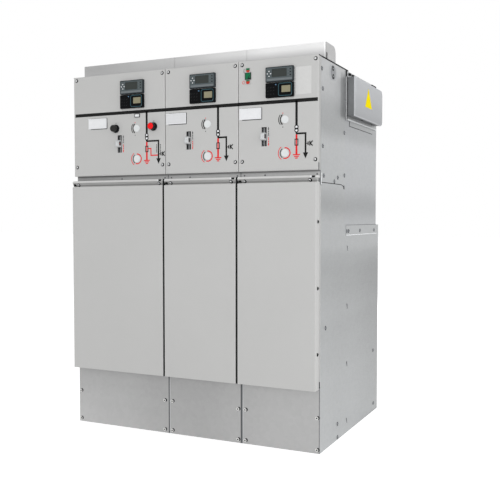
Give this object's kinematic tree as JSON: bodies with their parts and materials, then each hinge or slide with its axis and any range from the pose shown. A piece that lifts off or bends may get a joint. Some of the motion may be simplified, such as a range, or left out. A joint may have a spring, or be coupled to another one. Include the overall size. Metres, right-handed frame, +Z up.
{
  "type": "gas-insulated medium-voltage switchgear block",
  "caption": "Floor-standing gas-insulated switchgear block with a wide circuit-breaker panel and two ring-main panels, control boards above cable covers.",
  "frame": {"origin": "floor level, at the centre of the four floor anchor holes", "axes": "+X to the right of a person who faces the controls, -Y out of the front, +Z up"},
  "size_m": [1.086, 0.777, 1.457],
  "materials": {
    "painted": "satin light grey powder coat",
    "galvanised": "galvanised sheet",
    "tank_steel": "galvanised sheet",
    "dark_steel": "satin dark grey",
    "duct_paint": "satin light grey powder coat",
    "device_grey": "fine grained",
    "device_black": "fine grained",
    "black_plastic": "matt",
    "grey_plastic": "satin",
    "red_plastic": "satin",
    "label_plastic": "matt",
    "seal_rubber": "matt"
  },
  "bodies": {
    "block": {"base_frame": "galvanised", "side_sheet_left": "galvanised", "side_sheet_right": "galvanised", "partitions": "galvanised", "rear_sheets": "galvanised", "gas_tank": "tank_steel", "lap_strips": "galvanised", "housing_left": "galvanised", "housing_middle": "galvanised", "housing_right": "galvanised", "front_rail": "galvanised", "cover_left": "painted", "cover_middle": "painted", "cover_right": "painted", "cover_seals": "seal_rubber", "plinth_plate_left": "galvanised", "plinth_plate_middle": "galvanised", "plinth_plate_right": "galvanised", "duct_left": "duct_paint", "duct_middle": "duct_paint", "duct_right": "duct_paint", "duct_ends": "duct_paint", "board_left": "painted", "board_middle": "painted", "board_right": "painted", "meter_left": "device_grey", "meter_middle": "device_grey", "meter_right": "device_grey", "indicator_left": "device_black", "indicator_middle": "device_black", "indicator_right": "device_black", "label_holders": "label_plastic", "gate_guides": "black_plastic", "drive_covers": "grey_plastic", "button_collars": "black_plastic", "state_windows": "black_plastic", "side_plates": "galvanised", "busbar_tray": "galvanised", "busbar_frame": "dark_steel", "busbar_cover": "galvanised"},
    "left_gate": {"gate_left": "grey_plastic"},
    "middle_gate": {"gate_middle": "grey_plastic"},
    "right_gate": {"gate_right": "grey_plastic"},
    "black_push": {"black_button": "black_plastic"},
    "red_push": {"red_button": "red_plastic"}
  },
  "joints": [
    {"name": "left_gate_slide", "type": "slide", "parent": "block", "child": "left_gate", "axis": [0, 0, 1], "range_m": [-0.016, 0.016]},
    {"name": "middle_gate_slide", "type": "slide", "parent": "block", "child": "middle_gate", "axis": [0, 0, 1], "range_m": [-0.016, 0.016]},
    {"name": "right_gate_slide", "type": "slide", "parent": "block", "child": "right_gate", "axis": [0, 0, 1], "range_m": [-0.016, 0.016]},
    {"name": "black_button_push", "type": "slide", "parent": "block", "child": "black_push", "axis": [0, 1, 0], "range_m": [0, 0.004], "stiffness_N_per_m": 400},
    {"name": "red_button_push", "type": "slide", "parent": "block", "child": "red_push", "axis": [0, 1, 0], "range_m": [0, 0.004], "stiffness_N_per_m": 400}
  ]
}
